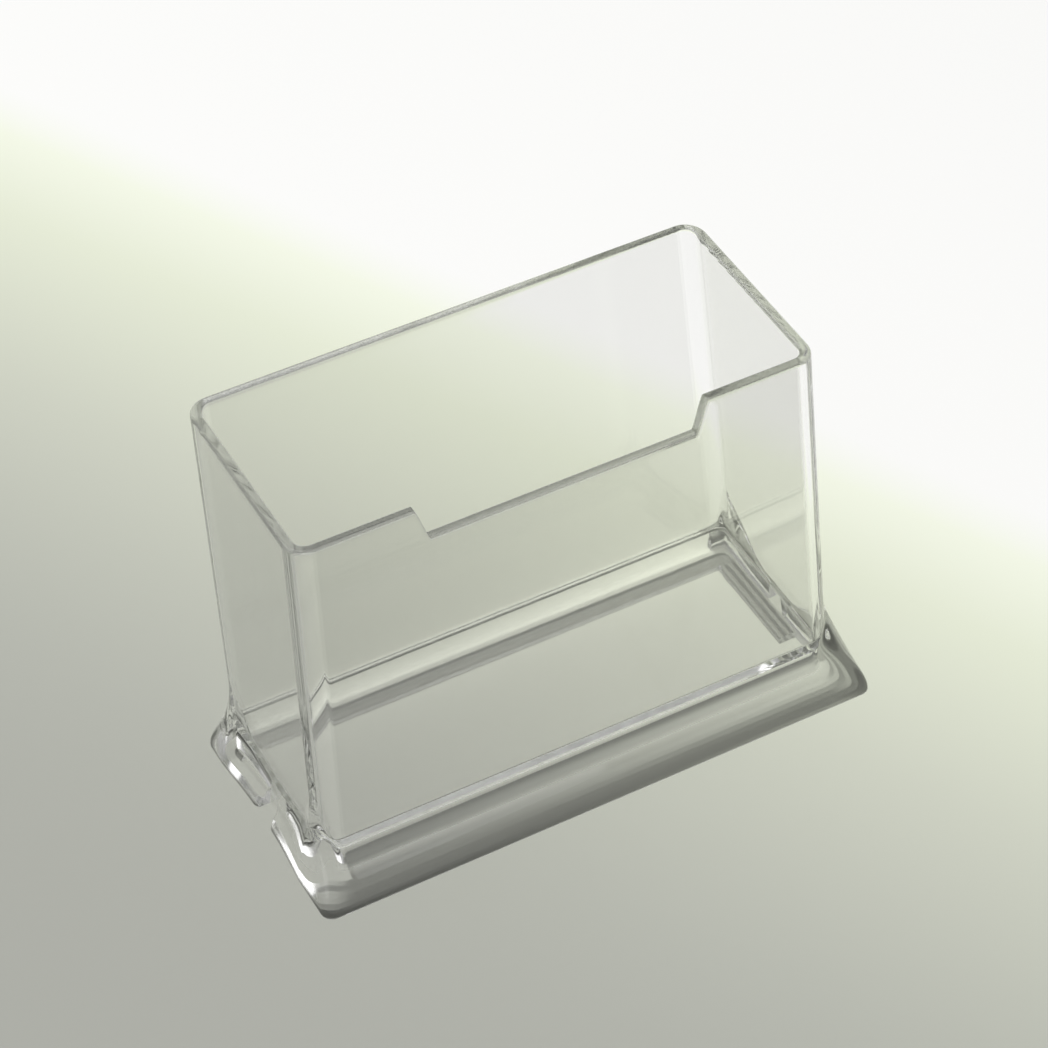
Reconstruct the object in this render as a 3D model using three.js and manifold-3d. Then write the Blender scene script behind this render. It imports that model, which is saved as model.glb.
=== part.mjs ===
// Clear card stand: a leaning four-wall card sleeve with a finger notch, a pocket floor, three ledges
// that widen the foot of the walls, and a flared base made of a front rail and four corner feet.
// Millimetres. X runs along the front, Y from front to back, Z up. The origin is on the ground,
// at the middle of the space that the stand fills.
import * as THREE from 'three';
import { mergeVertices } from 'three/addons/utils/BufferGeometryUtils.js';
import Module from 'manifold-3d';

const wasm = await Module();
wasm.setup();

// Card sleeve: outer sizes at the rim, and the slopes that carry the walls down to the ground
const standHeight = 68;
const rimWidth = 95;
const rimDepth = 40;
const wallThickness = 2;
const cornerRadius = 4;
const frontLean = THREE.MathUtils.degToRad(7.5);
const backLean = THREE.MathUtils.degToRad(10);
const sideDraft = THREE.MathUtils.degToRad(1.6);
const rimRounding = 0.5;

// Finger notch in the top edge of the front wall
const notchWidth = 52.5;
const notchDepth = 6;
const notchEndRun = 2.2;
const notchFillet = 1.2;

// Pocket floor, level
const floorHeight = 7.5;
const floorThickness = 2;

// Low ledges on the ground, inside the back wall and inside the rear part of each side wall
const ledgeWidth = 3;
const ledgeHeight = 1.5;
const sideLedgeLength = 20.6;

// Flared base: how far it reaches past the foot of each wall, and how high its flare climbs
const frontReach = 6.5;
const rearReach = 2.4;
const sideReach = 3.4;
const sideWaist = 0.8;
const baseCornerRadius = 2;
const frontRailHeight = 8;
const rearEdgeHeight = 6;
const footHeight = 16;
const footEndHeight = 6;
const flareLip = 0.8;

// Break between the front and the rear foot of each side, set back from the base's middle
const breakWidth = 5;
const breakTopWidth = 3;
const breakSetback = 2.5;

// The bonded faces of two pieces stand this far apart
const bondGap = 0.3;

// How finely the curved outlines are cut
const cornerSteps = 8;
const sideSteps = 12;
const flareSteps = 9;

// The inner corners of the walls are never sharper than this
const sharpestCorner = 0.5;

// Places worked out from the sizes above
const standDepth = frontReach + standHeight * Math.tan(frontLean) + rimDepth;
const baseFront = -standDepth / 2;
const wallFootFront = baseFront + frontReach;
const wallFootDepth = rimDepth - standHeight * (Math.tan(backLean) - Math.tan(frontLean));
const wallFootBack = wallFootFront + wallFootDepth;
const wallFootHalf = rimWidth / 2 + standHeight * Math.tan(sideDraft);
const baseBack = wallFootBack + rearReach;
const baseHalf = wallFootHalf + sideReach;
const seamX = wallFootHalf - cornerRadius;
const rearLedgeFront = wallFootBack - wallThickness - bondGap - ledgeWidth;
const sideLedgeFront = rearLedgeFront - sideLedgeLength;
const sideLedgeInner = wallFootHalf - wallThickness - bondGap - ledgeWidth;
const breakY = (baseFront + baseBack) / 2 + breakSetback;
const farAway = 2 * Math.max(standHeight, rimWidth, standDepth);

// Stations name the places round an outline, anticlockwise from the left end of the front run:
// four straight runs, each followed by the corner at its end. `along` goes from 0 to 1.
function outlineStations() {
  const runs = [
    { run: 'front', steps: 1 },
    { run: 'right', steps: sideSteps },
    { run: 'back', steps: 1 },
    { run: 'left', steps: sideSteps },
  ];
  const stations = [];
  runs.forEach(({ run, steps }, turn) => {
    for (let i = 0; i < steps; i += 1) {
      stations.push({ run, turn, corner: false, along: i / steps });
    }
    for (let i = 0; i < cornerSteps; i += 1) {
      stations.push({ run, turn, corner: true, along: i / cornerSteps });
    }
  });
  return stations;
}

const stations = outlineStations();

// A rounded rectangle at one station. The two side runs may be drawn in at their middle.
function outlinePoint({ turn, corner, along }, { half, front, back, radius, waist = 0 }) {
  const corners = [
    new THREE.Vector2(-half, front),
    new THREE.Vector2(half, front),
    new THREE.Vector2(half, back),
    new THREE.Vector2(-half, back),
  ];
  const start = corners[turn];
  const end = corners[(turn + 1) % corners.length];
  const forward = end.clone().sub(start).normalize();
  const outward = new THREE.Vector2(forward.y, -forward.x);
  if (!corner) {
    const first = start.clone().addScaledVector(forward, radius);
    const last = end.clone().addScaledVector(forward, -radius);
    const drawnIn = turn % 2 === 1 ? waist * Math.sin(Math.PI * along) : 0;
    return first.lerp(last, along).addScaledVector(outward, -drawnIn);
  }
  const turned = along * Math.PI / 2;
  return end.clone()
    .addScaledVector(forward, -radius)
    .addScaledVector(outward, -radius)
    .addScaledVector(outward, radius * Math.cos(turned))
    .addScaledVector(forward, radius * Math.sin(turned));
}

// The walls' outline at a height, moved outward by `grow`, or inward where it is negative
function wallOutline(height, grow) {
  return {
    half: wallFootHalf - height * Math.tan(sideDraft) + grow,
    front: wallFootFront + height * Math.tan(frontLean) - grow,
    back: wallFootBack + height * Math.tan(backLean) + grow,
    radius: Math.max(cornerRadius + grow, sharpestCorner),
  };
}

const baseOutline = {
  half: baseHalf,
  front: baseFront,
  back: baseBack,
  radius: baseCornerRadius,
  waist: sideWaist,
};

// Height that the flare climbs at a station: full at the corners, sagging along each side to the
// break between the feet, and low along the front and the back
function flareHeight({ run, corner, along }) {
  const sag = footHeight - footEndHeight;
  if (!corner && (run === 'right' || run === 'left')) {
    return footEndHeight + sag * (2 * along - 1) ** 2;
  }
  if (!corner) {
    return run === 'front' ? frontRailHeight : rearEdgeHeight;
  }
  const leavesLowRun = run === 'front' || run === 'back';
  const lowHeight = run === 'front' || run === 'left' ? frontRailHeight : rearEdgeHeight;
  const fromLowRun = leavesLowRun ? along : 1 - along;
  return THREE.MathUtils.lerp(lowHeight, footHeight, THREE.MathUtils.smoothstep(fromLowRun, 0, 1));
}

// Closed skin between rings of points: each ring holds as many points, and the last joins the first
function skinRings(rings) {
  const count = rings[0].length;
  const positions = rings.flat().flatMap((point) => point.toArray());
  const triangles = [];
  rings.forEach((ring, level) => {
    const next = (level + 1) % rings.length;
    for (let i = 0; i < count; i += 1) {
      const j = (i + 1) % count;
      const a = level * count + i;
      const b = level * count + j;
      const c = next * count + j;
      const d = next * count + i;
      triangles.push(a, b, c, a, c, d);
    }
  });
  const geometry = new THREE.BufferGeometry();
  geometry.setAttribute('position', new THREE.Float32BufferAttribute(positions, 3));
  geometry.setIndex(triangles);
  return geometry;
}

// Ring of points on the walls' outline
function wallRing(height, grow) {
  const outline = wallOutline(height, grow);
  return stations.map((station) => {
    const { x, y } = outlinePoint(station, outline);
    return new THREE.Vector3(x, y, height);
  });
}

function toSolid(geometry) {
  const bare = geometry.clone();
  bare.deleteAttribute('normal');
  bare.deleteAttribute('uv');
  const merged = mergeVertices(bare);
  const vertProperties = new Float32Array(merged.attributes.position.array);
  const triVerts = new Uint32Array(merged.index.array);
  return new wasm.Manifold(new wasm.Mesh({ numProp: 3, vertProperties, triVerts }));
}

function toGeometry(solid) {
  const { vertProperties, triVerts } = solid.getMesh();
  const geometry = new THREE.BufferGeometry();
  geometry.setAttribute('position', new THREE.Float32BufferAttribute(vertProperties, 3));
  geometry.setIndex(Array.from(triVerts));
  geometry.computeVertexNormals();
  return geometry;
}

// Box between two corners
function blockSolid([x0, y0, z0], [x1, y1, z1]) {
  const block = new THREE.BoxGeometry(x1 - x0, y1 - y0, z1 - z0);
  block.translate((x0 + x1) / 2, (y0 + y1) / 2, (z0 + z1) / 2);
  return toSolid(block);
}

// Prism of an upright (along, height) profile, `length` long and centred on the middle plane
function profileAlongY(shape, length) {
  const prism = new THREE.ExtrudeGeometry(shape, { depth: length, bevelEnabled: false });
  prism.rotateX(Math.PI / 2);
  prism.translate(0, length / 2, 0);
  return prism;
}

function profileAlongX(shape, length) {
  const prism = profileAlongY(shape, length);
  prism.rotateZ(Math.PI / 2);
  return prism;
}

// Notch profile with slanted ends and a fillet at each end of its floor, open above the rim
function notchShape() {
  const halfTop = notchWidth / 2;
  const halfFloor = halfTop - notchEndRun;
  const rim = standHeight;
  const floor = standHeight - notchDepth;
  const slant = Math.hypot(notchEndRun, notchDepth);
  const runX = notchFillet * notchEndRun / slant;
  const runZ = notchFillet * notchDepth / slant;
  const above = rim + notchDepth;
  const shape = new THREE.Shape();
  shape.moveTo(-halfTop, above);
  shape.lineTo(-halfTop, rim);
  shape.lineTo(-halfFloor - runX, floor + runZ);
  shape.quadraticCurveTo(-halfFloor, floor, -halfFloor + notchFillet, floor);
  shape.lineTo(halfFloor - notchFillet, floor);
  shape.quadraticCurveTo(halfFloor, floor, halfFloor + runX, floor + runZ);
  shape.lineTo(halfTop, rim);
  shape.lineTo(halfTop, above);
  shape.closePath();
  return shape;
}

// Gap between two feet, wider at the ground than at the top of the flare
function breakShape() {
  const above = 2 * footHeight;
  const below = -footEndHeight;
  const shape = new THREE.Shape();
  shape.moveTo(-breakWidth / 2, below);
  shape.lineTo(breakWidth / 2, below);
  shape.lineTo(breakWidth / 2, 0);
  shape.lineTo(breakTopWidth / 2, footEndHeight);
  shape.lineTo(breakTopWidth / 2, above);
  shape.lineTo(-breakTopWidth / 2, above);
  shape.lineTo(-breakTopWidth / 2, footEndHeight);
  shape.lineTo(-breakWidth / 2, 0);
  shape.closePath();
  return shape;
}

// Four walls in one band, with a softened rim and the finger notch
function cardSleeve() {
  const shoulder = standHeight - rimRounding;
  const shell = toSolid(skinRings([
    wallRing(0, 0),
    wallRing(shoulder, 0),
    wallRing(standHeight, -rimRounding),
    wallRing(standHeight, rimRounding - wallThickness),
    wallRing(shoulder, -wallThickness),
    wallRing(0, -wallThickness),
  ]));
  const frontHalf = blockSolid([-farAway, -farAway, 0], [farAway, breakY, farAway]);
  const notch = toSolid(profileAlongY(notchShape(), farAway)).intersect(frontHalf);
  return toGeometry(shell.subtract(notch));
}

// The space inside the walls between two heights, drawn in from their inner faces by the bond gap
function insideWalls(low, high) {
  const fit = -wallThickness - bondGap;
  const rings = [wallRing(low, fit), wallRing(high, fit)];
  const count = stations.length;
  const geometry = skinRings(rings);
  const sides = Array.from(geometry.index.array).slice(0, 6 * count);
  const caps = [];
  for (let i = 1; i < count - 1; i += 1) {
    caps.push(0, i + 1, i);
    caps.push(count, count + i, count + i + 1);
  }
  geometry.setIndex([...sides, ...caps]);
  return toSolid(geometry);
}

// Level plate that the cards stand on
function pocketFloor() {
  return toGeometry(insideWalls(floorHeight - floorThickness, floorHeight));
}

// Ledge on the ground, shaped to the walls' inner faces and kept between the given places
function groundLedge(x0, x1, y0, y1) {
  const block = blockSolid([x0, y0, 0], [x1, y1, ledgeHeight]);
  return toGeometry(insideWalls(0, ledgeHeight).intersect(block));
}

// Flared skirt all round the walls: an S-shaped surface from a thin lip down to the base outline
function flaredSkirt() {
  const levels = Array.from({ length: flareSteps + 1 }, (_, i) => i / flareSteps);
  const outside = levels.map((level) => stations.map((station) => {
    const height = level * flareHeight(station);
    const lip = outlinePoint(station, wallOutline(height, bondGap + flareLip));
    const edge = outlinePoint(station, baseOutline);
    const spread = 1 - THREE.MathUtils.smoothstep(level, 0, 1);
    const { x, y } = lip.lerp(edge, spread);
    return new THREE.Vector3(x, y, height);
  }));
  const inside = levels.map((level) => stations.map((station) => {
    const height = level * flareHeight(station);
    const { x, y } = outlinePoint(station, wallOutline(height, bondGap));
    return new THREE.Vector3(x, y, height);
  }));
  return skinRings([...outside, ...inside.reverse()]);
}

// Clear, colourless plastic with a cool grey-green cast at its edges
function clearPlastic(color) {
  return new THREE.MeshStandardMaterial({
    color,
    roughness: 0.06,
    metalness: 0,
    transparent: true,
    opacity: 0.35,
  });
}

function piece(name, geometry, color) {
  const mesh = new THREE.Mesh(geometry, clearPlastic(color));
  mesh.name = name;
  return mesh;
}

const wallColor = 0xdfe4da;
const floorColor = 0xd6dad0;
const railColor = 0xb9bcb4;
const footColor = 0xc6cac1;

const skirt = toSolid(flaredSkirt());
const footBreak = toSolid(profileAlongX(breakShape(), farAway).translate(0, breakY, 0));
const brokenSkirt = skirt.subtract(footBreak);

// Part of the skirt inside an upright block that runs from the ground up
function skirtPart(from, x0, x1, y0, y1) {
  return toGeometry(from.intersect(blockSolid([x0, y0, -footHeight], [x1, y1, farAway])));
}

const stand = new THREE.Group();
stand.add(piece('card_sleeve', cardSleeve(), wallColor));
stand.add(piece('pocket_floor', pocketFloor(), floorColor));
stand.add(piece('front_rail', skirtPart(skirt, -seamX, seamX, -farAway, breakY), railColor));
stand.add(piece('rear_ledge', groundLedge(-farAway, farAway, rearLedgeFront, farAway), railColor));
const sides = [
  { side: 'left', x0: -farAway, x1: -seamX, inside: [-farAway, -sideLedgeInner] },
  { side: 'right', x0: seamX, x1: farAway, inside: [sideLedgeInner, farAway] },
];
for (const { side, x0, x1, inside } of sides) {
  const ledge = groundLedge(...inside, sideLedgeFront, rearLedgeFront);
  stand.add(piece(`${side}_ledge`, ledge, railColor));
  const front = skirtPart(brokenSkirt, x0, x1, -farAway, breakY);
  const rear = skirtPart(brokenSkirt, x0, x1, breakY, farAway);
  stand.add(piece(`front_${side}_foot`, front, footColor));
  stand.add(piece(`rear_${side}_foot`, rear, footColor));
}

export default stand;
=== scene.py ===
"""Looks for the clear card stand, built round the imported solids. Metres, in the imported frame."""
import math

import bpy
import numpy as np
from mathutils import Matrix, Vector


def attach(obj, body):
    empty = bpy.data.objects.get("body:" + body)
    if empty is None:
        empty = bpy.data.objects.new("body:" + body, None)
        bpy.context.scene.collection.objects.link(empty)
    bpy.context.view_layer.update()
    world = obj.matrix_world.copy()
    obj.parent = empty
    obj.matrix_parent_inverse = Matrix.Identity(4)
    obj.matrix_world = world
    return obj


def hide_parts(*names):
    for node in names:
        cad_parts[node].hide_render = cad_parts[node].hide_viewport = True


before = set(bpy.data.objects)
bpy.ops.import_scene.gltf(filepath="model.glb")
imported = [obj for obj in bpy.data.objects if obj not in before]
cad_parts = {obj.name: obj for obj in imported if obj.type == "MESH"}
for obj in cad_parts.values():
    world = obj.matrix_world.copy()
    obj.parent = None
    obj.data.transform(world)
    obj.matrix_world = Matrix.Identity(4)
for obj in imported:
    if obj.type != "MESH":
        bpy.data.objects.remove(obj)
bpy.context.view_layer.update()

# Camera. The photograph looks down at the stand from the front left, through a long lens.
# Its angle, distance and framing come from the lines of the rim, the notch and the base.
AIM = np.array([0.0, -0.006926, 0.035])
AZIMUTH, ELEVATION = math.radians(-29.1414), math.radians(45.7053)
DISTANCE, NEAREST_SEEN = 0.575881, 0.01
FOCAL_PIXELS, FRAME_PIXELS = 3500.0, 1048.0
SHIFT_RIGHT_PIXELS, SHIFT_DOWN_PIXELS = 23.586, 57.136
SENSOR_MM = 36.0

toward_camera = np.array([
    math.sin(AZIMUTH) * math.cos(ELEVATION),
    -math.cos(AZIMUTH) * math.cos(ELEVATION),
    math.sin(ELEVATION),
])
lens = bpy.data.cameras.new("camera")
lens.sensor_width = SENSOR_MM
lens.lens = FOCAL_PIXELS / FRAME_PIXELS * SENSOR_MM
lens.shift_x = -SHIFT_RIGHT_PIXELS / FRAME_PIXELS
lens.shift_y = SHIFT_DOWN_PIXELS / FRAME_PIXELS
lens.clip_start = NEAREST_SEEN
camera = bpy.data.objects.new("camera", lens)
camera.location = AIM + toward_camera * DISTANCE
camera.rotation_euler = (math.pi / 2 - ELEVATION, 0.0, AZIMUTH)
scene = bpy.context.scene
scene.collection.objects.link(camera)
scene.camera = camera
scene.view_settings.view_transform = "Standard"

# Floor. A plain pale sheet, grey-green at the front left and white at the back right, which is how the
# photograph's ground fades. The fade is painted light: the lamps light the sheet evenly, and the fall of
# light across it is painted into the sheet's colour.
SHEET_HALF, SHEET_DROP = 4.0, 0.00005
# The painted paleness on a scale to 255: at the middle, and how much it rises over the span to the right and
# back
FADE_SPAN = 0.1
MIDDLE_LEVEL, RISE_ACROSS, RISE_ALONG = 199.6, 58.8, 32.5
LOWEST_LEVEL, LOW_BLEND, HIGHEST_LEVEL, HIGH_BLEND = 174.4, 60.0, 256.0, 12.0
# Colours of the painted fade of light, from the darkest level to the palest
PAINTED_FADE_COLORS = [
    (172, (0.412, 0.417, 0.381)), (186, (0.485, 0.497, 0.443)), (212, (0.640, 0.662, 0.565)),
    (237, (0.815, 0.855, 0.700)), (250, (0.935, 0.972, 0.830)), (255, (1.0, 1.0, 0.985)),
]


class NodeMaterial:
    """A material made of nodes. An input is set to a value, or linked where the value is a node's output."""

    def __init__(self, name):
        self.made = bpy.data.materials.new(name)
        self.made.use_nodes = True
        self.tree = self.made.node_tree
        self.tree.nodes.clear()
        self.output = self.tree.nodes.new("ShaderNodeOutputMaterial")

    def add(self, kind, inputs=None, **settings):
        """A new node with its settings and inputs set."""
        node = self.tree.nodes.new(kind)
        for key, value in settings.items():
            setattr(node, key, value)
        for key, value in (inputs or {}).items():
            if isinstance(value, bpy.types.NodeSocket):
                self.tree.links.new(value, node.inputs[key])
            else:
                node.inputs[key].default_value = value
        return node

    def graded(self, value, start, end, low=0.0, high=1.0):
        """low where value is under start, high where it is over end, and a straight line between."""
        limits = {"From Min": start, "From Max": end, "To Min": low, "To Max": high}
        return self.add("ShaderNodeMapRange", {"Value": value, **limits}).outputs["Result"]

    def blended(self, share, first, second, **settings):
        """The first colour where share is 0, the second where it is 1."""
        colors = {"Factor": share, 6: first, 7: second}
        return self.add("ShaderNodeMix", colors, data_type="RGBA", **settings).outputs[2]

    def finish(self, **sockets):
        """Links the named sockets of the material's output."""
        for name, socket in sockets.items():
            self.tree.links.new(socket, self.output.inputs[name])


sheet_corners = ((-1, -1), (1, -1), (1, 1), (-1, 1))
sheet_mesh = bpy.data.meshes.new("floor")
sheet_mesh.from_pydata(
    [(x * SHEET_HALF, y * SHEET_HALF, -SHEET_DROP) for x, y in sheet_corners], [], [(0, 1, 2, 3)])
sheet = bpy.data.objects.new("floor", sheet_mesh)
scene.collection.objects.link(sheet)

paper_painted_fade = NodeMaterial("paper_painted_fade")
slope = paper_painted_fade.add(
    "ShaderNodeVectorMath",
    {0: paper_painted_fade.add("ShaderNodeTexCoord").outputs["Object"],
     1: (RISE_ACROSS / FADE_SPAN, RISE_ALONG / FADE_SPAN, 0)},
    operation="DOT_PRODUCT")
rising = paper_painted_fade.add("ShaderNodeMath", {0: slope.outputs["Value"], 1: MIDDLE_LEVEL}, operation="ADD")
lower = paper_painted_fade.add(
    "ShaderNodeMath", {0: rising.outputs[0], 1: LOWEST_LEVEL, 2: LOW_BLEND}, operation="SMOOTH_MAX")
level = paper_painted_fade.add(
    "ShaderNodeMath", {0: lower.outputs[0], 1: HIGHEST_LEVEL, 2: HIGH_BLEND}, operation="SMOOTH_MIN")
darkest, palest = PAINTED_FADE_COLORS[0][0], PAINTED_FADE_COLORS[-1][0]
ramp = paper_painted_fade.add("ShaderNodeValToRGB", {"Fac": paper_painted_fade.graded(level.outputs[0], darkest, palest)})
stops = ramp.color_ramp.elements
stops.remove(stops[-1])
for i, (value, color) in enumerate(PAINTED_FADE_COLORS):
    share = (value - darkest) / (palest - darkest)
    stop = stops[0] if i == 0 else stops.new(share)
    stop.position = share
    stop.color = (*color, 1)
paper_painted_fade.finish(Surface=paper_painted_fade.add("ShaderNodeBsdfDiffuse", {"Color": ramp.outputs["Color"]}).outputs["BSDF"])
sheet.data.materials.append(paper_painted_fade.made)

# Card sleeve. Four leaning walls in one band of clear 2 mm acrylic, formed round tight corners, with a
# finger notch cut into the front wall. The cut edges are flame-polished, which leaves them rounded.
MM = 0.001
# Millimetres, and degrees for the leans. The gap is the room for cement between two pieces
STAND_HEIGHT, RIM_WIDTH, RIM_DEPTH, WALL = 68.0, 95.0, 40.0, 2.0
CORNER_RADIUS, LEAST_RADIUS = 4.0, 0.5
FRONT_LEAN, BACK_LEAN, SIDE_DRAFT = 7.5, 10.0, 1.6
FRONT_REACH, REAR_REACH = 6.5, 2.4
EDGE_ROUNDING = 0.6
NOTCH_WIDTH, NOTCH_DEPTH, NOTCH_END_RUN = 52.5, 6.0, 2.2
NOTCH_EASING, NOTCH_EASED_SHARE = 0.12, 0.35
FLOOR_TOP, FLOOR_THICKNESS, CEMENT_FILLET = 7.5, 2.0, 0.8
LEDGE_WIDTH, LEDGE_HEIGHT, SIDE_LEDGE_LENGTH = 3.3, 1.5, 20.6
RAIL_HEIGHT, FOOT_HEIGHT, FOOT_END_HEIGHT, REAR_HEIGHT = 8.0, 16.0, 6.0, 6.0
BREAK_WIDTH, BREAK_TOP_WIDTH, BREAK_SETBACK = 5.0, 3.0, 2.5
BOND_GAP = 0.004

front_slope, back_slope, side_slope = (
    math.tan(math.radians(angle)) for angle in (FRONT_LEAN, BACK_LEAN, SIDE_DRAFT))
base_front = -(FRONT_REACH + STAND_HEIGHT * front_slope + RIM_DEPTH) / 2
foot_front = base_front + FRONT_REACH
foot_back = foot_front + RIM_DEPTH - STAND_HEIGHT * (back_slope - front_slope)
foot_half = RIM_WIDTH / 2 + STAND_HEIGHT * side_slope
base_back = foot_back + REAR_REACH
side_start, side_end = foot_front + CORNER_RADIUS, foot_back - CORNER_RADIUS
run_half = foot_half - CORNER_RADIUS
break_y = (base_front + base_back) / 2 + BREAK_SETBACK
ledge_back = foot_back - WALL - LEDGE_WIDTH
ledge_front = ledge_back - SIDE_LEDGE_LENGTH
floor_under, floor_seat = FLOOR_TOP - FLOOR_THICKNESS, FLOOR_TOP + CEMENT_FILLET

# Side columns stand upright below UPRIGHT_TOP - UPRIGHT_FADE and lean with the wall above UPRIGHT_TOP
UPRIGHT_TOP, UPRIGHT_FADE, UPRIGHT_END_SHARE = 30.0, 20.0, 0.15
BREAK_FADE = 5.0


def smooth(t):
    """0 below 0, 1 above 1, and 3 t^2 - 2 t^3 between."""
    t = np.clip(t, 0, 1)
    return t * t * (3 - 2 * t)


def crowded(start, end, count):
    """Places from start up to end, without the end, closer together at both ends: half a cosine wave."""
    return start + (end - start) * (0.5 - 0.5 * np.cos(np.pi * np.arange(count) / count))


class Columns:
    """Columns of a grid round the walls, anticlockwise seen from above. A stretch of them gives the run that
    they belong to (0 front, 1 right, 2 back, 3 left), whether they are on the corner after that run, and
    their places there, 0 to 1."""

    def __init__(self, *stretches):
        self.run = np.concatenate([np.full(len(places), run) for run, _, places in stretches])
        self.corner = np.concatenate([np.full(len(places), corner) for _, corner, places in stretches])
        self.place = np.concatenate([places for _, _, places in stretches])

    def on(self, *runs):
        """Which columns are on these runs and not on a corner."""
        return np.isin(self.run, runs) & ~self.corner

    def points(self, height, grow):
        """Points on the walls' outline at a height, moved outward by grow: a rounded rectangle whose sides
        shift evenly with the height. Along the side runs, columns stand upright at the foot of the wall
        instead of leaning with it, and close in on the break between the feet as they rise."""
        height = np.broadcast_to(np.asarray(height, float), self.place.shape)
        half = foot_half - height * side_slope + grow
        front = foot_front + height * front_slope - grow
        back = foot_back + height * back_slope + grow
        radius = np.maximum(CORNER_RADIUS + grow, LEAST_RADIUS)
        corner_x = np.stack([-half, half, half, -half])
        corner_y = np.stack([front, front, back, back])
        n = np.arange(len(self.place))
        sx, sy = corner_x[self.run, n], corner_y[self.run, n]
        ex, ey = corner_x[(self.run + 1) % 4, n], corner_y[(self.run + 1) % 4, n]
        length = np.hypot(ex - sx, ey - sy)
        fx, fy = (ex - sx) / length, (ey - sy) / length
        along = radius + (length - 2 * radius) * self.place
        turned = self.place * np.pi / 2
        forward, outward = radius * (np.sin(turned) - 1), radius * (np.cos(turned) - 1)
        x = np.where(self.corner, ex + fx * forward + fy * outward, sx + fx * along)
        y = np.where(self.corner, ey + fy * forward - fx * outward, sy + fy * along)
        back_share = np.where(self.run == 1, self.place, 1 - self.place)
        lean = height * (front_slope + (back_slope - front_slope) * back_share)
        upright = smooth(back_share / UPRIGHT_END_SHARE) * smooth((1 - back_share) / UPRIGHT_END_SHARE)
        upright = upright * smooth((UPRIGHT_TOP - height) / UPRIGHT_FADE)
        away = side_start + (side_end - side_start) * back_share - break_y
        past_break = np.abs(away) - BREAK_WIDTH / 2
        weight = np.where(
            past_break < 0, away / (BREAK_WIDTH / 2), np.sign(away) * (1 - smooth(past_break / BREAK_FADE)))
        closing = (BREAK_WIDTH - BREAK_TOP_WIDTH) / 2 * np.clip(height / FOOT_END_HEIGHT, 0, 1)
        y = y - np.where(self.on(1, 3), lean * upright + weight * closing, 0)
        return np.stack([x, y, height], -1)


def flare_height(columns):
    """How far up the wall the flare climbs: full at the corners, sagging by a parabola along the sides,
    and easing down round each corner to the front rail or to the back."""
    run, place = columns.run, columns.place
    side = FOOT_END_HEIGHT + (FOOT_HEIGHT - FOOT_END_HEIGHT) * (2 * place - 1) ** 2
    level = np.where(run % 2 == 1, side, np.where(run == 0, RAIL_HEIGHT, REAR_HEIGHT))
    low = np.where(np.isin(run, (0, 3)), RAIL_HEIGHT, REAR_HEIGHT)
    from_low = np.where(run % 2 == 0, place, 1 - place)
    return np.where(columns.corner, low + (FOOT_HEIGHT - low) * smooth(from_low), level)


def front_share(columns):
    """How far to the right of the front wall's left end each column stands, 0 to 1."""
    return np.clip(columns.points(0, 0)[:, 0] / (2 * run_half) + 0.5, 0, 1)


# The tint of the walls, and of the base below them; no tint is left in cemented faces, nor in the corners,
# where its lack is a painted light streak
WALL_TINT, BASE_TINT, NO_TINT = (0.90, 0.90, 0.895, 1), (0.965, 0.965, 0.96, 1), (1.0, 1.0, 1.0, 1)
TINT_CHANGE = (0.0080, 0.0086)
ACRYLIC_IOR, BOND_IOR = 1.49, 1.0005
BODY_COLOR, BODY_DENSITY = (0.40, 0.415, 0.39, 1), 4.5
# Waviness left by the forming, long up the walls, and a fine uneven haze on the polish
WAVE_SCALE, WAVE_DETAIL, WAVE_DEPTH = (90, 90, 9), 3.0, 0.00003
HAZE_SCALE, HAZE_DETAIL, HAZE_RANGE, GLOSS_RANGE = 260.0, 5.0, (0.35, 0.75), (0.01, 0.05)
# The ground faces and their edges are scuffed by the table
SCUFF_TOP, SCUFF_ROUGHNESS = 0.0004, 0.18
# Light that has passed the walls is tinted above the base, and the shade of a face takes its share of it
SHADOW_TINT, SHADOW_TINT_CHANGE, BLACK = (0.97, 0.97, 0.965, 1), (0.0082, 0.0090), (0.0, 0.0, 0.0, 1)

acrylic = NodeMaterial("clear_acrylic")
place = acrylic.add("ShaderNodeTexCoord").outputs["Object"]
height = acrylic.add("ShaderNodeSeparateXYZ", {"Vector": place}).outputs["Z"]
cemented, lit_corners, held_back = (
    acrylic.add("ShaderNodeAttribute", attribute_name=name).outputs["Fac"]
    for name in ("bonded", "painted_light_corner", "shade"))
flow = acrylic.add("ShaderNodeMapping", {"Vector": place, "Scale": WAVE_SCALE})
waves = acrylic.add(
    "ShaderNodeTexNoise", {"Vector": flow.outputs["Vector"], "Scale": 1.0, "Detail": WAVE_DETAIL})
wavy = acrylic.add(
    "ShaderNodeBump", {"Height": waves.outputs["Fac"], "Strength": 1.0, "Distance": WAVE_DEPTH})
haze = acrylic.add("ShaderNodeTexNoise", {"Vector": place, "Scale": HAZE_SCALE, "Detail": HAZE_DETAIL})
gloss = acrylic.graded(haze.outputs["Fac"], *HAZE_RANGE, *GLOSS_RANGE)
scuffed = acrylic.graded(height, 0.0, SCUFF_TOP, SCUFF_ROUGHNESS, 0.0)
rough = acrylic.add("ShaderNodeMath", {0: gloss, 1: scuffed}, operation="MAXIMUM")
# Painted light: the base below TINT_CHANGE gets a lighter tint than the walls, which brightens the sheet
# seen through it
own_tint = acrylic.blended(acrylic.graded(height, *TINT_CHANGE), BASE_TINT, WALL_TINT)
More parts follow.
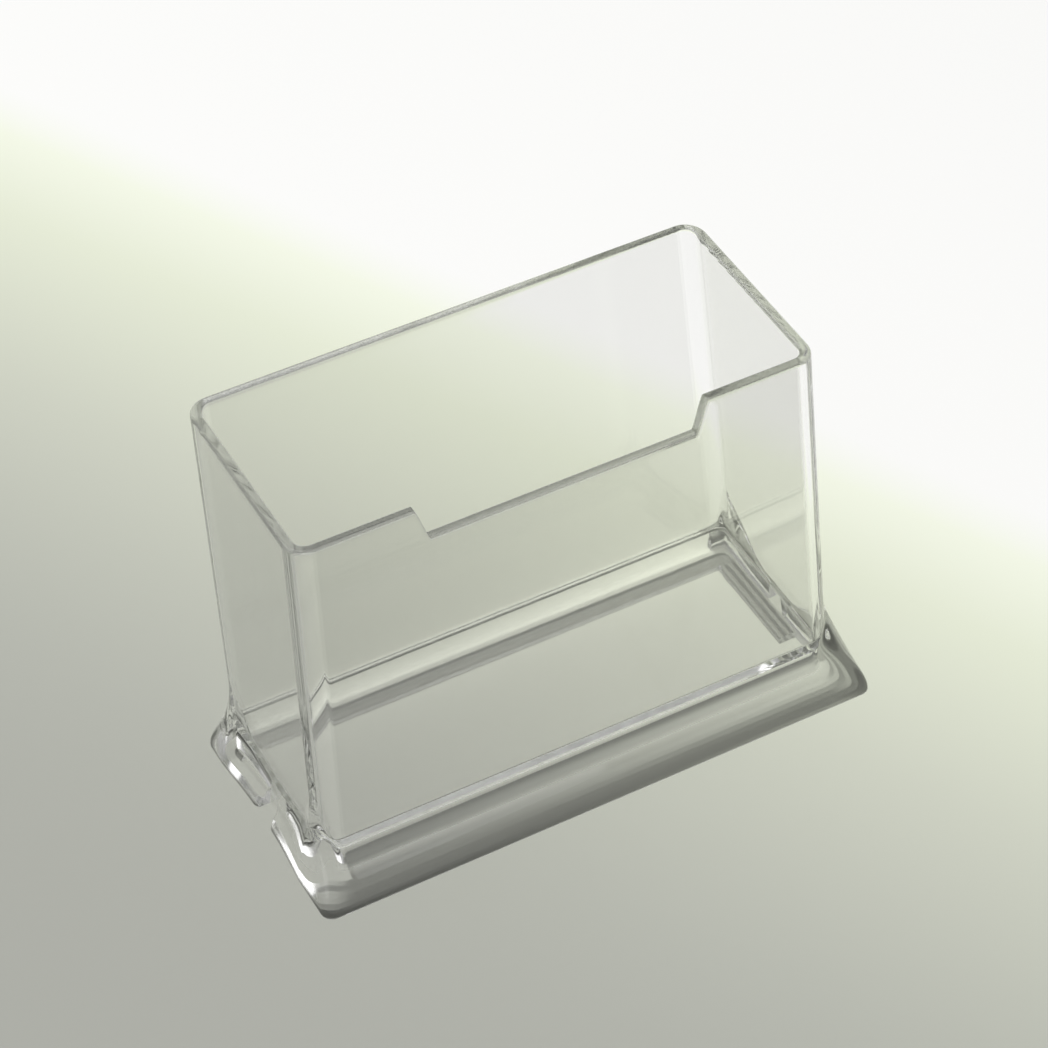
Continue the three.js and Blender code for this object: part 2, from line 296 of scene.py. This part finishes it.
# Painted highlight: the corners lose their tint, which lights a streak down each of them
tint_with_lit_corners = acrylic.blended(lit_corners, own_tint, NO_TINT)
clear = acrylic.add("ShaderNodeBsdfPrincipled", {
    "Base Color": acrylic.blended(cemented, tint_with_lit_corners, NO_TINT),
    "Roughness": rough.outputs[0],
    "IOR": acrylic.graded(cemented, 0.0, 1.0, ACRYLIC_IOR, BOND_IOR),
    "Transmission Weight": 1.0,
    "Normal": wavy.outputs["Normal"]})
passed = acrylic.blended(acrylic.graded(height, *SHADOW_TINT_CHANGE), NO_TINT, SHADOW_TINT)
left_over = acrylic.blended(held_back, passed, BLACK, clamp_factor=False)
through = acrylic.add("ShaderNodeBsdfTransparent", {"Color": left_over}).outputs["BSDF"]
path = acrylic.add("ShaderNodeLightPath")
surface = clear.outputs["BSDF"]
for light in ("Is Shadow Ray", "Is Diffuse Ray"):
    surface = acrylic.add("ShaderNodeMixShader", {0: path.outputs[light], 1: surface, 2: through}).outputs[0]
body = acrylic.add("ShaderNodeVolumeAbsorption", {"Color": BODY_COLOR, "Density": BODY_DENSITY})
acrylic.finish(Surface=surface, Volume=body.outputs["Volume"])

SHARP_ANGLE = math.radians(35)


def set_face_values(mesh, name, values):
    """One value for each face, which the acrylic's nodes read by name."""
    mesh.attributes.new(name, "FLOAT", "FACE").data.foreach_set("value", values)


def grid_piece(name, rings, bonded, shade, closed=True, end_bonded=(0, 0)):
    """A mesh object from an array of rings of points in millimetres, with four-sided faces between each
    ring and the next. The last ring joins the first, or a flat face closes each end. bonded tells how far
    each face is joined to what it touches, and end_bonded the same of the two end faces. shade is the
    share of the lamp's light that each face holds back from the sheet below it."""
    rings = np.asarray(rings, float)
    levels, count, _ = rings.shape
    index = np.arange(levels * count).reshape(levels, count)
    right = np.roll(index, -1, axis=1)
    quads = np.stack([index, right, np.roll(right, -1, axis=0), np.roll(index, -1, axis=0)], axis=-1)
    bands = levels if closed else levels - 1
    corners, sizes = quads[:bands].ravel(), np.full(bands * count, 4)
    bonded, shade = np.array(bonded, float)[:bands].ravel(), np.array(shade, float)[:bands].ravel()
    if not closed:
        corners = np.concatenate([corners, index[0][::-1], index[-1]])
        sizes = np.append(sizes, [count, count])
        bonded, shade = np.append(bonded, end_bonded), np.append(shade, [0, 0])
    mesh = bpy.data.meshes.new(name)
    mesh.vertices.add(levels * count)
    mesh.vertices.foreach_set("co", (rings * MM).ravel())
    mesh.loops.add(len(corners))
    mesh.loops.foreach_set("vertex_index", corners)
    mesh.polygons.add(len(sizes))
    mesh.polygons.foreach_set("loop_start", np.cumsum(sizes) - sizes)
    mesh.polygons.foreach_set("loop_total", sizes)
    mesh.polygons.foreach_set("use_smooth", sizes == 4)
    set_face_values(mesh, "bonded", bonded)
    set_face_values(mesh, "shade", shade)
    mesh.update()
    mesh.set_sharp_from_angle(angle=SHARP_ANGLE)
    mesh.materials.append(acrylic.made)
    piece = bpy.data.objects.new(name, mesh)
    scene.collection.objects.link(piece)
    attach(piece, "root")
    return piece


# Columns of the front wall stand close at the notch's slanted ends, and wider outside and between them
END_MARGIN, OUTER_MARGIN, MIDDLE_MARGIN = 1.2, 1.5, 1.6
OUTER_STEPS, END_STEPS, MIDDLE_STEPS = 10, 26, 24
SIDE_STEPS, BACK_STEPS, ARC_STEPS = (14, 16, 8, 20), 24, 24

notch_end = NOTCH_WIDTH / 2
beside = np.linspace(-END_MARGIN, NOTCH_END_RUN + END_MARGIN, END_STEPS)
middle_end = notch_end - NOTCH_END_RUN - MIDDLE_MARGIN
front_x = np.concatenate([
    crowded(-run_half, -notch_end - OUTER_MARGIN, OUTER_STEPS), beside - notch_end,
    np.linspace(-middle_end, middle_end, MIDDLE_STEPS),
    (notch_end - beside)[::-1], crowded(notch_end + OUTER_MARGIN, run_half, OUTER_STEPS),
])
front_places = (front_x + run_half) / (2 * run_half)
stops_y = (side_start, ledge_front, break_y - BREAK_WIDTH / 2, break_y + BREAK_WIDTH / 2, side_end)
side_stops = [(y - side_start) / (side_end - side_start) for y in stops_y]
side_places = np.concatenate([crowded(*part) for part in zip(side_stops, side_stops[1:], SIDE_STEPS)])
arc = np.arange(ARC_STEPS) / ARC_STEPS
around = Columns(
    (0, False, front_places), (0, True, arc), (1, False, side_places), (1, True, arc),
    (2, False, crowded(0, 1, BACK_STEPS)), (2, True, arc),
    (3, False, 1 - np.append(side_places[1:], 1.0)[::-1]), (3, True, arc),
)


def rim_height(columns):
    """Height of the rim: level, with the notch cut down between slanted ends. A share of the cut follows a
    smooth step, which eases the corners of the ends."""
    x = columns.points(STAND_HEIGHT, 0)[:, 0]
    inward = (NOTCH_WIDTH / 2 - np.abs(x)) / NOTCH_END_RUN
    eased = smooth((inward + NOTCH_EASING) / (1 + 2 * NOTCH_EASING))
    cut = (1 - NOTCH_EASED_SHARE) * np.clip(inward, 0, 1) + NOTCH_EASED_SHARE * eased
    return STAND_HEIGHT - np.where(columns.on(0), NOTCH_DEPTH * cut, 0.0)


# PRESSED is how far a face that stands on the sheet counts as joined to it. The wall's ground face holds
# light back by its run, less toward the right of the front wall, and there less toward the inside.
PRESSED = 0.75
WALL_SHADES, FRONT_SHADE_FADE = (0.54, 0.45, 0.15, 0.0), 0.6
FRONT_FOOT_SHARES = (0.55, 0.70, 0.85, 1.0)
# The back wall carries the lamp's light down and spills it on the sheet behind its foot: a shade below zero
BACK_SPILL = -0.65
# Heights of the rings, as shares of the wall, of the space under the plate, and of the ledges
SKIRT_STEPS, RIM_STEPS = 12, 8
WALL_STEPS, UNDER_STEPS = (0.02, 0.1, 0.3, 0.6, 0.9, 0.98), (1.0, 0.9, 0.5)
OVER_LEDGE, LEDGE_STEPS = 1.1, (1.0, 0.5)

ground_y = around.points(0, 0)[:, 1]
next_y = (ground_y + np.roll(ground_y, -1)) / 2
skirted = ~around.on(2) & ~(around.on(1, 3) & (np.abs(next_y - break_y) < BREAK_WIDTH / 2))
ledged = next_y > ledge_front
fading = np.where(around.run == 0, 1 - FRONT_SHADE_FADE * front_share(around), 1.0)
foot_shade = np.array(WALL_SHADES)[around.run] * fading
spilled = np.where(around.on(2), BACK_SPILL, 0.0)
top = rim_height(around) - EDGE_ROUNDING
climb = flare_height(around)
sleeve_rings = []


def sleeve_ring(height, grow, bonded=False, shade=0.0):
    """A ring of the sleeve, with how far the faces between it and the next are bonded, and their shade."""
    columns = around.place.shape
    sleeve_rings.append(
        (around.points(height, grow), np.broadcast_to(bonded, columns), np.broadcast_to(shade, columns)))


for t in np.linspace(0, 1, SKIRT_STEPS, endpoint=False):
    sleeve_ring(t * climb, 0, skirted, spilled)
for t in (0.0, *WALL_STEPS):
    sleeve_ring(climb + (top - climb) * t, 0)
for a in np.linspace(0, np.pi / 2, RIM_STEPS):
    sleeve_ring(top + EDGE_ROUNDING * np.sin(a), EDGE_ROUNDING * (np.cos(a) - 1))
for a in np.linspace(np.pi / 2, 0, RIM_STEPS):
    sleeve_ring(top + EDGE_ROUNDING * np.sin(a), EDGE_ROUNDING * (1 - np.cos(a)) - WALL)
for t in WALL_STEPS[::-1]:
    sleeve_ring(floor_seat + (top - floor_seat) * t, -WALL)
sleeve_ring(floor_seat, -WALL, True)
sleeve_ring(FLOOR_TOP, -WALL, True)
for z in [t * floor_under for t in UNDER_STEPS] + [OVER_LEDGE * LEDGE_HEIGHT]:
    sleeve_ring(z, -WALL, False, spilled)
for t in LEDGE_STEPS:
    sleeve_ring(t * LEDGE_HEIGHT, -WALL, ledged)
for i, share in enumerate(FRONT_FOOT_SHARES):
    inset = WALL * (1 - i / len(FRONT_FOOT_SHARES))
    sleeve_ring(0, -inset, PRESSED, foot_shade * np.where(around.run == 0, share, 1.0))
rings, bonded, shade = zip(*sleeve_rings)
card_sleeve = grid_piece("clear_card_sleeve", rings, bonded, shade)
# The corners are marked for the painted light streak: the acrylic leaves them untinted
on_corner = np.broadcast_to(around.corner.astype(float), np.shape(shade))
set_face_values(card_sleeve.data, "painted_light_corner", on_corner.ravel())
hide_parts("card_sleeve")

# Pocket floor. A level plate of the same 2 mm acrylic that the cards stand on. Its edges are cemented
# to the walls, and the cement that squeezed out leaves a small fillet all round its upper face.
UNDERSIDE_INSETS, TOPSIDE_INSETS = (1.2, 0.6, 0.02), (1.4, 2.0)
FILLET_STEPS = 8
floor_fit = -WALL - BOND_GAP

# Height, distance from the wall, and whether the faces up to the next ring are cemented
plate = [(floor_under, inset, False) for inset in UNDERSIDE_INSETS]
plate += [(floor_under + (floor_seat - floor_under) * t, 0.0, t < 1) for t in (0.0, 0.5, 1.0)]
for a in np.linspace(0, np.pi / 2, FILLET_STEPS + 1)[1:]:
    plate.append((FLOOR_TOP + CEMENT_FILLET * (1 - np.sin(a)), CEMENT_FILLET * (1 - np.cos(a)), False))
plate += [(FLOOR_TOP, inset, False) for inset in TOPSIDE_INSETS]
plate_rings = [around.points(height, floor_fit - inset) for height, inset, _ in plate]
plate_bonded = [np.full(around.place.shape, cemented) for _, _, cemented in plate]
plate_shade = np.zeros_like(plate_bonded, float)
pocket_floor = grid_piece("clear_pocket_floor", plate_rings, plate_bonded, plate_shade, closed=False)
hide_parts("pocket_floor")

# Ground ledges. Three low strips of acrylic that widen the foot of the walls: one inside the back wall, and
# one inside the rear part of each side wall. They are cemented to the walls and stand on the ground.
LEDGE_EASING, EASING_STEPS = 0.3, 5
SIDE_LEDGE_COLUMNS, LEDGE_ARC_COLUMNS, ARC_MARGIN = 24, 20, 0.02
# Shades of the ground face in even steps, from the inner edge to the wall
REAR_LEDGE_SHADES = (0.54, 0.60, 0.60, 0.62, 0.78)
RIGHT_LEDGE_SHADES = (0.74, 0.54, 0.76, 0.52, 0.78)
LEFT_LEDGE_SHADES = (0.10, 0.05, 0.10, 0.05, 0.10)


def ledge(name, node, columns, inner, end_bonded, shades):
    """A ledge: at each column, up the wall, back over the top, round the eased top edge, down the inner
    face, whose place inner gives for a set of wall points, and out along the ground in even steps."""
    loop = [columns.points(z, floor_fit) for z in (0.0, 0.5 * LEDGE_HEIGHT, LEDGE_HEIGHT)]
    foot_outer, foot_inner = loop[0], inner(loop[0])
    away = foot_outer[:, :2] - foot_inner[:, :2]
    width = np.linalg.norm(away, axis=1)[:, None]
    for a in np.linspace(0, np.pi / 2, EASING_STEPS):
        across, down = LEDGE_EASING * (1 - np.sin(a)), LEDGE_EASING * (1 - np.cos(a))
        eased = inner(columns.points(LEDGE_HEIGHT - down, floor_fit))
        eased[:, :2] += away / width * np.minimum(across, 0.5 * width)
        loop.append(eased)
    loop.append(inner(columns.points(0.5 * LEDGE_HEIGHT, floor_fit)))
    for t in np.arange(len(shades)) / len(shades):
        loop.append(foot_inner * (1 - t) + foot_outer * t)
    rings = np.transpose(np.array(loop), (1, 0, 2))
    bonded, shade = np.zeros(rings.shape[:2]), np.zeros(rings.shape[:2])
    bonded[:, :2] = 1
    bonded[:, -len(shades):] = PRESSED
    shade[:, -len(shades):] = shades
    piece = grid_piece(name, rings[::-1], bonded[::-1], shade[::-1], closed=False, end_bonded=end_bonded)
    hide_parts(node)


def behind(points):
    """The rear ledge's inner face: straight across, in front of the corners."""
    return np.stack([points[:, 0], np.full(len(points), ledge_back), points[:, 2]], -1)


def beside_wall(points):
    """A side ledge's inner face: parallel to the middle plane."""
    inner_x = foot_half - WALL - LEDGE_WIDTH
    return np.stack([np.sign(points[:, 0]) * inner_x, points[:, 1], points[:, 2]], -1)


rear_columns = Columns(
    (1, True, np.linspace(ARC_MARGIN, 1, LEDGE_ARC_COLUMNS, endpoint=False)),
    (2, False, crowded(0, 1, BACK_STEPS)),
    (2, True, np.linspace(0, 1 - ARC_MARGIN, LEDGE_ARC_COLUMNS)))
ledge_end = (ledge_back - BOND_GAP - side_start) / (side_end - side_start)
ledge_places = np.linspace(side_stops[1], ledge_end, SIDE_LEDGE_COLUMNS)
right_columns, left_columns = Columns((1, False, ledge_places)), Columns((3, False, 1 - ledge_places[::-1]))
ledge("clear_rear_ledge", "rear_ledge", rear_columns, behind, (1, 1), REAR_LEDGE_SHADES)
ledge("clear_right_ledge", "right_ledge", right_columns, beside_wall, (1, 0), RIGHT_LEDGE_SHADES)
ledge("clear_left_ledge", "left_ledge", left_columns, beside_wall, (0, 1), LEFT_LEDGE_SHADES)

# Front rail. A flared strip of clear acrylic along the foot of the front wall, cemented to it. Its outer
# face is an S that starts upright at the ground and thins out against the wall.
SIDE_REACH, SIDE_WAIST = 3.4, 0.8
BASE_RADIUS, BASE_ROUNDING, END_ROUNDING = 2.0, 0.3, 0.8
BASE_ROUNDING_STEPS, FLARE_STEPS, DOWN_WALL = 5, 26, (0.9, 0.5, 0.1)
SEAM_TRIM = 0.0001
# Steps of the ground face from the wall outward, and their shades at the two ends of the front wall
GROUND_STEPS = (0.0, 0.12, 0.25, 0.40, 0.55, 0.70, 0.80, 0.90)
RAIL_LEFT_SHADES = (0.52, 0.54, 0.54, 0.62, 0.64, 0.74, 0.84, 0.76)
RAIL_RIGHT_SHADES = (0.18, 0.30, 0.52, 0.66, 0.72, 0.72, 0.62, 0.48)
base_half = foot_half + SIDE_REACH


def base_points(columns):
    """Where each column runs out to on the base's edge: straight ahead of a run, and round a corner at an
    even pace along the edge's own rounded corner."""
    x, y, _ = columns.points(0, 0).T
    waist = SIDE_WAIST * np.sin(np.pi * columns.place)
    side_x = np.where(columns.run == 1, base_half - waist, waist - base_half)
    run_x = np.where(columns.run % 2 == 1, side_x, x)
    run_y = np.where(columns.run == 0, base_front, np.where(columns.run == 2, base_back, y))
    at_front = np.isin(columns.run, (0, 3))
    edge_y = np.where(at_front, base_front, base_back)
    wall_y = np.where(at_front, side_start, side_end)
    inward, sign = np.sign(wall_y - edge_y), np.where(columns.run < 2, 1.0, -1.0)
    ahead, beside = base_half - run_half - BASE_RADIUS, np.abs(wall_y - edge_y) - BASE_RADIUS
    bend = BASE_RADIUS * np.pi / 2
    travelled = np.where(columns.run % 2 == 1, 1 - columns.place, columns.place) * (ahead + bend + beside)
    turned = np.clip((travelled - ahead) / BASE_RADIUS, 0, np.pi / 2)
    corner_x = sign * (run_half + np.minimum(travelled, ahead) + BASE_RADIUS * np.sin(turned))
    down = np.clip(travelled - ahead - bend, 0, None)
    corner_y = edge_y + inward * (BASE_RADIUS * (1 - np.cos(turned)) + down)
    return np.where(columns.corner, corner_x, run_x), np.where(columns.corner, corner_y, run_y)


def rail_ground(columns):
    """How far each step of the rail's ground face is pressed to the sheet at each column, and its shade,
    which goes evenly from the left values to the right ones."""
    left, right = np.array(RAIL_LEFT_SHADES), np.array(RAIL_RIGHT_SHADES)
    shades = left + (right - left) * front_share(columns)[:, None]
    return np.full(shades.shape, PRESSED), shades


def flare_rings(columns, ground_pressed, ground_shades, from_end=None):
    """Closed profiles, one per column: out along the ground, up the S-shaped face, whose distance from
    the wall is reach * (1 - smooth(height / climb)), and back down the wall. from_end gives each
    column's distance from a free end, whose upright edge is rounded by a quarter circle."""
    climb = flare_height(columns)
    edge = np.stack(base_points(columns), -1)
    near = END_ROUNDING if from_end is None else np.clip(from_end, 0, END_ROUNDING)
    end_inset = END_ROUNDING - np.sqrt(END_ROUNDING ** 2 - (END_ROUNDING - near) ** 2)
    loop, bonded, shade = [], [], []

    def point(height, spread, inset=0.0, pressed=0.0, shaded=0.0):
        wall = columns.points(height, BOND_GAP)
        across = edge - wall[:, :2]
        reach = np.linalg.norm(across, axis=1)
        share = np.clip(spread * (1 - end_inset / reach) - inset / reach, 0, None)
        wall[:, :2] += across * share[:, None]
        loop.append(wall)
        bonded.append(np.broadcast_to(pressed, climb.shape))
        shade.append(np.broadcast_to(shaded, climb.shape))

    for spread, pressed, shaded in zip(GROUND_STEPS, ground_pressed.T, ground_shades.T):
        point(0.0, spread, 0.0, pressed, shaded)
    for a in np.linspace(0, np.pi / 2, BASE_ROUNDING_STEPS, endpoint=False):
        point(BASE_ROUNDING * (1 - np.cos(a)), 1.0, BASE_ROUNDING * (1 - np.sin(a)))
    for t in np.linspace(0, 1, FLARE_STEPS):
        height = BASE_ROUNDING + (climb - BASE_ROUNDING) * t
        point(height, 1 - smooth(height / climb), 0.0, float(t == 1))
    for t in DOWN_WALL:
        point(climb * t, 0.0, 0.0, 1.0)
    rings = np.transpose(np.array(loop), (1, 0, 2))
    return rings, np.array(bonded).T, np.array(shade).T


rail_columns = Columns((0, False, np.concatenate([[SEAM_TRIM], front_places[1:], [1 - SEAM_TRIM]])))
rings, bonded, shade = flare_rings(rail_columns, *rail_ground(rail_columns))
front_rail = grid_piece(
    "clear_front_rail", rings[::-1], bonded[::-1], shade[::-1], closed=False, end_bonded=(1, 1))
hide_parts("front_rail")

# Corner feet. Four flared feet of clear acrylic, cemented round the corners. Each is tallest at its corner
# and sags along the side, where a gap parts the front foot from the rear one.
FOOT_SHADES = {
    "right": (0.50, 0.35, 0.60, 0.45, 0.72, 0.84, 0.88, 0.84),
    "left": (0.10, 0.50, 0.10, 0.10, 0.45, 0.84, 0.88, 0.60),
}
FOOT_PRESSED = {
    "right": (PRESSED,) * len(GROUND_STEPS),
    "left": (0.30, 0.30, 0.30, 0.35, 0.60, 0.80, 0.80, 0.80),
}
# How far round a front corner, from its side to the rail, the ground starts to look like the rail's
RAIL_BLEND_START = 0.375
corner_places = np.append(arc, 1.0)
front_half = np.append(side_places[:sum(SIDE_STEPS[:2])], side_stops[2])
rear_half = np.append(side_places[sum(SIDE_STEPS[:3]):], 1.0)


def foot_ground(side, columns):
    """The same as rail_ground for a foot: its side's own values, which turn smoothly into the rail's round
    a front corner."""
    turn = np.where(columns.run == 3, columns.place, 1 - columns.place)
    toward_rail = smooth((turn - RAIL_BLEND_START) / (1 - RAIL_BLEND_START))
    toward_rail = np.where(columns.corner & np.isin(columns.run, (0, 3)), toward_rail, 0.0)[:, None]
    own_values = np.array(FOOT_PRESSED[side]), np.array(FOOT_SHADES[side])
    return [own + (rail - own) * toward_rail for own, rail in zip(own_values, rail_ground(columns))]


def foot(side, end, columns, free_first, free_last):
    """One foot from its columns. free_first and free_last tell which of its ends isn't against a neighbour.
    The other end is put out of the rounding's reach."""
    x, y, _ = columns.points(0, 0).T
    distance = np.hypot(x[:, None] - x[[0, -1]], y[:, None] - y[[0, -1]])
    distance = distance + np.where([free_first, free_last], 0.0, 2 * END_ROUNDING)
    rings, bonded, shade = flare_rings(columns, *foot_ground(side, columns), distance.min(axis=1))
    ends = (int(not free_last), int(not free_first))
    piece = grid_piece(
        f"clear_{end}_{side}_foot", rings[::-1], bonded[::-1], shade[::-1], closed=False, end_bonded=ends)
    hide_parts(f"{end}_{side}_foot")


foot("right", "front", Columns((0, True, arc), (1, False, front_half)), False, True)
foot("right", "rear", Columns((1, False, rear_half[:-1]), (1, True, corner_places)), True, True)
foot("left", "rear", Columns((2, True, arc), (3, False, 1 - rear_half[::-1])), True, True)
foot("left", "front", Columns((3, False, 1 - front_half[:0:-1]), (3, True, corner_places)), True, False)

# Studio. A plain grey room, and one large soft lamp above the left. Light is mirrored many times inside
# clear walls before it leaves them, so it is followed through more bounces than usual.
ROOM_LIGHT = 0.45
KEY_PLACE, KEY_SIZE, KEY_WATTS = (-0.5, 0.0, 1.7), (3.0, 3.0), 33.0
BOUNCES, SEE_THROUGH_BOUNCES = 64, 32
world = bpy.data.worlds.new("room")
scene.world = world
world.use_nodes = True
world.node_tree.nodes["Background"].inputs["Color"].default_value = (ROOM_LIGHT, ROOM_LIGHT, ROOM_LIGHT, 1)
lamp = bpy.data.lights.new("key", "AREA")
lamp.shape, lamp.energy = "RECTANGLE", KEY_WATTS
lamp.size, lamp.size_y = KEY_SIZE
key = bpy.data.objects.new("key", lamp)
key.location = KEY_PLACE
key.rotation_euler = (Vector(AIM) - key.location).to_track_quat("-Z", "Y").to_euler()
scene.collection.objects.link(key)
scene.cycles.max_bounces = BOUNCES
scene.cycles.glossy_bounces = BOUNCES
scene.cycles.transmission_bounces = BOUNCES
scene.cycles.transparent_max_bounces = SEE_THROUGH_BOUNCES
